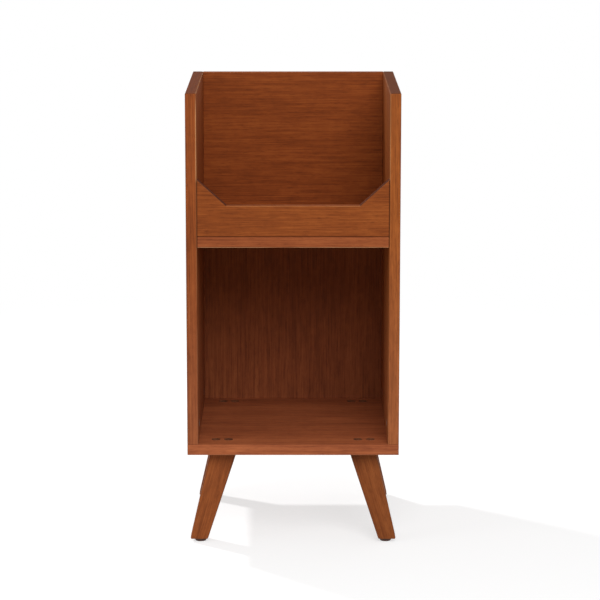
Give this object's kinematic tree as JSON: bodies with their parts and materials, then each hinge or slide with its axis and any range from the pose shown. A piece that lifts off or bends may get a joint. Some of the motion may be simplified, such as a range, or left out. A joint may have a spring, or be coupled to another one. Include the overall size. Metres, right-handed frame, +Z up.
{
  "type": "record storage stand",
  "caption": "Upright stand with an open record bin, low in front and sloped up to the sides, over an open record compartment, on four splayed tapered legs with levelling glides.",
  "frame": {"origin": "on the floor, under the middle of the case, with the glides screwed in", "axes": "+Z up, -Y towards the front with the sloped bin front, +X to the right as seen from the front"},
  "size_m": [0.37, 0.381, 0.8],
  "materials": {
    "stained_wood": "reddish-brown stain under satin lacquer, straight grain along each board",
    "stained_thin_board": "thin board stained to match, satin",
    "beech_dowel": "bare fluted beech",
    "cam_zinc": "die-cast zinc, dull",
    "insert_zinc": "zinc-plated",
    "bolt_steel": "zinc-plated steel",
    "glide_plastic": "dark brown, satin"
  },
  "bodies": {
    "stand": {"left_side_panel": "stained_wood", "right_side_panel": "stained_wood", "bottom_panel": "stained_wood", "bin_shelf": "stained_wood", "bin_front_panel": "stained_wood", "bin_back_panel": "stained_wood", "lower_back_panel": "stained_thin_board", "front_left_leg": "stained_wood", "front_right_leg": "stained_wood", "rear_left_leg": "stained_wood", "rear_right_leg": "stained_wood", "foot_inserts": "insert_zinc", "leg_inserts": "insert_zinc", "leg_bolts": "bolt_steel", "leg_bolt_washers": "insert_zinc", "base_cams": "cam_zinc", "shelf_cams": "cam_zinc", "bin_front_cams": "cam_zinc", "bin_back_cams": "cam_zinc", "base_cam_bolts": "bolt_steel", "shelf_cam_bolts": "bolt_steel", "bin_front_cam_bolts": "bolt_steel", "bin_back_cam_bolts": "bolt_steel", "base_dowels": "beech_dowel", "shelf_dowels": "beech_dowel", "bin_front_dowels": "beech_dowel", "bin_back_dowels": "beech_dowel"},
    "front_left_glide": {"front_left_glide_pad": "glide_plastic", "front_left_glide_stem": "bolt_steel"},
    "front_right_glide": {"front_right_glide_pad": "glide_plastic", "front_right_glide_stem": "bolt_steel"},
    "rear_left_glide": {"rear_left_glide_pad": "glide_plastic", "rear_left_glide_stem": "bolt_steel"},
    "rear_right_glide": {"rear_right_glide_pad": "glide_plastic", "rear_right_glide_stem": "bolt_steel"}
  },
  "joints": [
    {"name": "front_left_glide_travel", "type": "slide", "parent": "stand", "child": "front_left_glide", "axis": [0, 0, -1], "range_m": [0, 0.008]},
    {"name": "front_right_glide_travel", "type": "slide", "parent": "stand", "child": "front_right_glide", "axis": [0, 0, -1], "range_m": [0, 0.008]},
    {"name": "rear_left_glide_travel", "type": "slide", "parent": "stand", "child": "rear_left_glide", "axis": [0, 0, -1], "range_m": [0, 0.008]},
    {"name": "rear_right_glide_travel", "type": "slide", "parent": "stand", "child": "rear_right_glide", "axis": [0, 0, -1], "range_m": [0, 0.008]}
  ]
}
